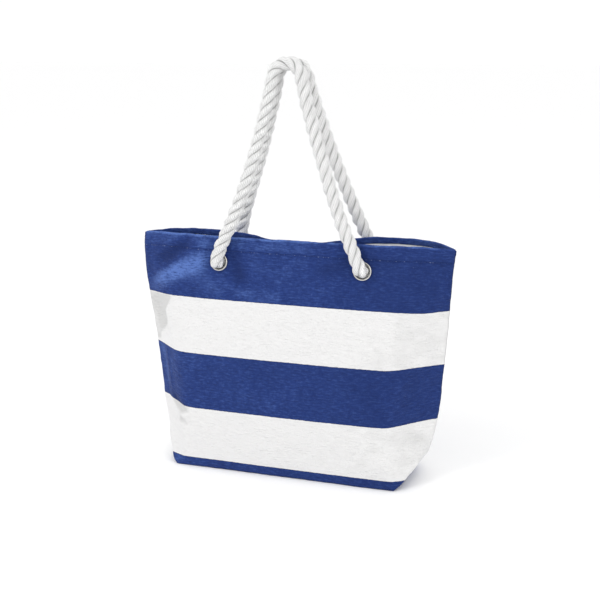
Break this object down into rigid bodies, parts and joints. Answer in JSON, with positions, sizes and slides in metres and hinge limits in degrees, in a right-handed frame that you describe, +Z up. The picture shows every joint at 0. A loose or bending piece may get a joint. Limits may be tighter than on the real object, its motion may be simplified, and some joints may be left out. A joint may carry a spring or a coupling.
{
  "type": "beach bag",
  "caption": "Canvas beach tote with wide blue and white stripes, boxed base, open mouth, metal eyelets and twisted cotton rope handles knotted inside.",
  "frame": {"origin": "middle of the base, on the surface the bag stands on", "axes": "+Z up, X along the bag's width, the front faces -Y"},
  "size_m": [0.439, 0.1157, 0.563],
  "materials": {
    "striped_canvas": "woven cotton canvas in wide royal blue and off-white stripes",
    "white_lining": "plain white lining cloth",
    "blue_thread": "blue sewing thread",
    "nickel": "polished nickel-plated brass",
    "cotton_rope": "three-strand twisted white cotton rope"
  },
  "bodies": {
    "bag": {"front_panel": "striped_canvas", "back_panel": "striped_canvas", "lining_front": "white_lining", "lining_back": "white_lining", "hem_stitching_front": "blue_thread", "hem_stitching_back": "blue_thread", "eyelet_front_left": "nickel", "eyelet_front_right": "nickel", "eyelet_back_left": "nickel", "eyelet_back_right": "nickel", "washer_front_left": "nickel", "washer_front_right": "nickel", "washer_back_left": "nickel", "washer_back_right": "nickel", "rope_knot_front_left": "cotton_rope", "rope_knot_front_right": "cotton_rope", "rope_knot_back_left": "cotton_rope", "rope_knot_back_right": "cotton_rope"},
    "front_handle": {"rope_handle_front": "cotton_rope"},
    "back_handle": {"rope_handle_back": "cotton_rope"}
  },
  "joints": [
    {"name": "front_handle_swing", "type": "hinge", "parent": "bag", "child": "front_handle", "pos_m": [0, -0.03561, 0.29117], "axis": [1, 0, 0], "range_deg": [0, 175]},
    {"name": "back_handle_swing", "type": "hinge", "parent": "bag", "child": "back_handle", "pos_m": [0, 0.05091, 0.29055], "axis": [-1, 0, 0], "range_deg": [0, 175]}
  ]
}
